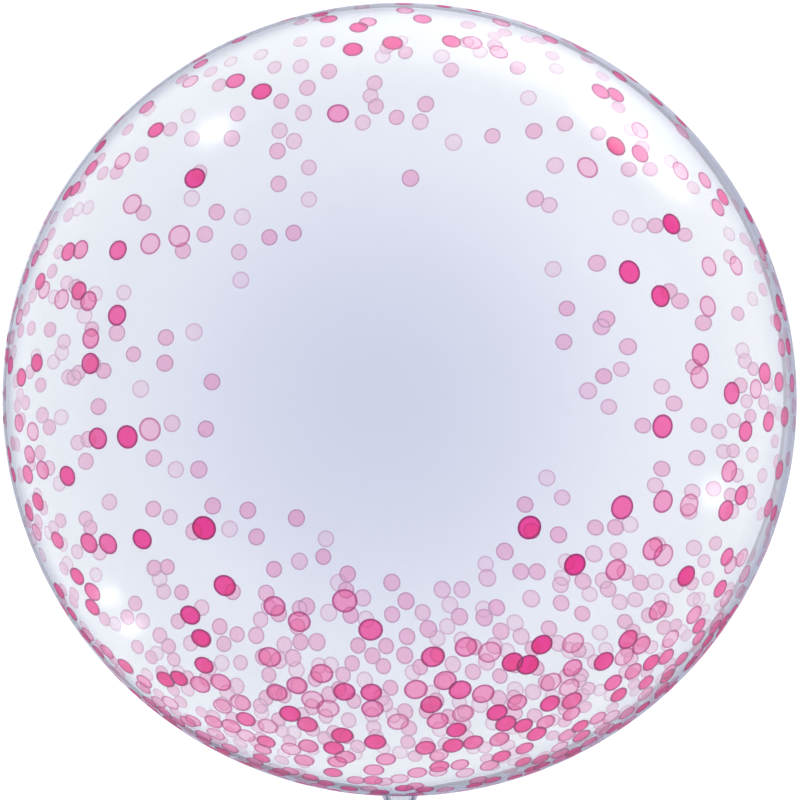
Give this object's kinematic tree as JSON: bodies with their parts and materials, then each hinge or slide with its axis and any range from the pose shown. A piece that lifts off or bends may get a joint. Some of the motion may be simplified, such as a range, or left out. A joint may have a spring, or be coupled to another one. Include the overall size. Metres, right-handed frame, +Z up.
{
  "type": "clear bubble balloon",
  "caption": "Round clear balloon of stretch film printed with pink confetti dots, welded round the rim, with a flat filling tab; lies on its back.",
  "frame": {"origin": "middle of the small flat spot on the underside, on the ground", "axes": "+Z up through the front of the balloon, +Y away from the neck, so the neck and its tab point along -Y; the weld seam is level at mid height"},
  "size_m": [0.6098, 0.677, 0.6012],
  "materials": {
    "clear_film": "clear stretch film, high gloss, with translucent pink printed dots"
  },
  "bodies": {
    "root": {"bubble": "clear_film"}
  },
  "joints": []
}
